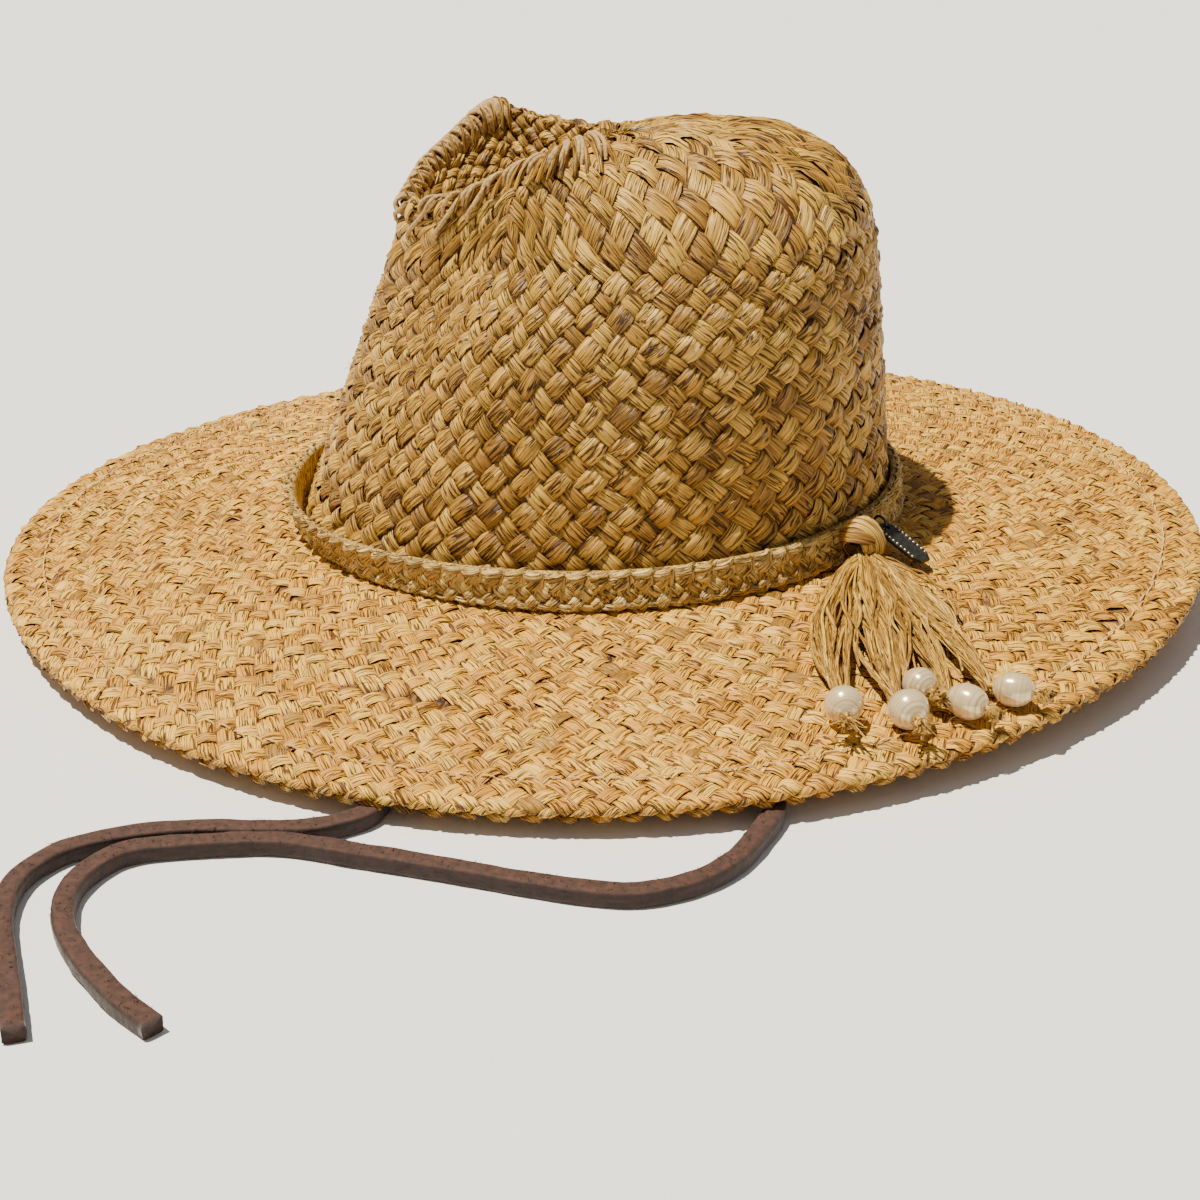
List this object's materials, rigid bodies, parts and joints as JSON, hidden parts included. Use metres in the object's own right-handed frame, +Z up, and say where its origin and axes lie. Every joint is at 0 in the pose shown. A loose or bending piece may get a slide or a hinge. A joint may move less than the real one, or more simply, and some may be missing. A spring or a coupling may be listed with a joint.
{
  "type": "raffia sun hat",
  "caption": "Woven raffia sun hat with a pinched teardrop crown, wide brim, plaited band, pearl-tipped tassel, metal tag and leather chin laces.",
  "frame": {"origin": "centre of the bounding box of all pieces but the laces, at the surface the hat rests on", "axes": "+Z up, -Y towards the front of the crown, +X towards the wearer's left, where the tassel and laces are"},
  "size_m": [0.4216, 0.3951, 0.1451],
  "materials": {
    "crown_straw": "matt woven raffia, darker ochre tan",
    "brim_straw": "matt woven raffia, light tan",
    "band_straw": "plaited raffia, pale straw",
    "tassel_straw": "loose raffia strands",
    "knot_straw": "knotted raffia",
    "pearl": "white nacre with faint growth rings",
    "bronze": "dark aged metal, worn edges",
    "leather": "brown suede leather, smooth sides"
  },
  "bodies": {
    "root": {"crown": "crown_straw", "brim": "brim_straw", "hatband": "band_straw", "band_knot": "knot_straw", "tassel": "tassel_straw", "pearl_1": "pearl", "pearl_2": "pearl", "pearl_3": "pearl", "pearl_4": "pearl", "pearl_5": "pearl", "end_knot_1": "knot_straw", "end_knot_2": "knot_straw", "end_knot_3": "knot_straw", "end_knot_4": "knot_straw", "end_knot_5": "knot_straw", "tag": "bronze", "tag_ring": "bronze", "lace_tab_left": "leather", "lace_tab_right": "leather", "chin_lace_left": "leather", "chin_lace_right": "leather"}
  },
  "joints": []
}
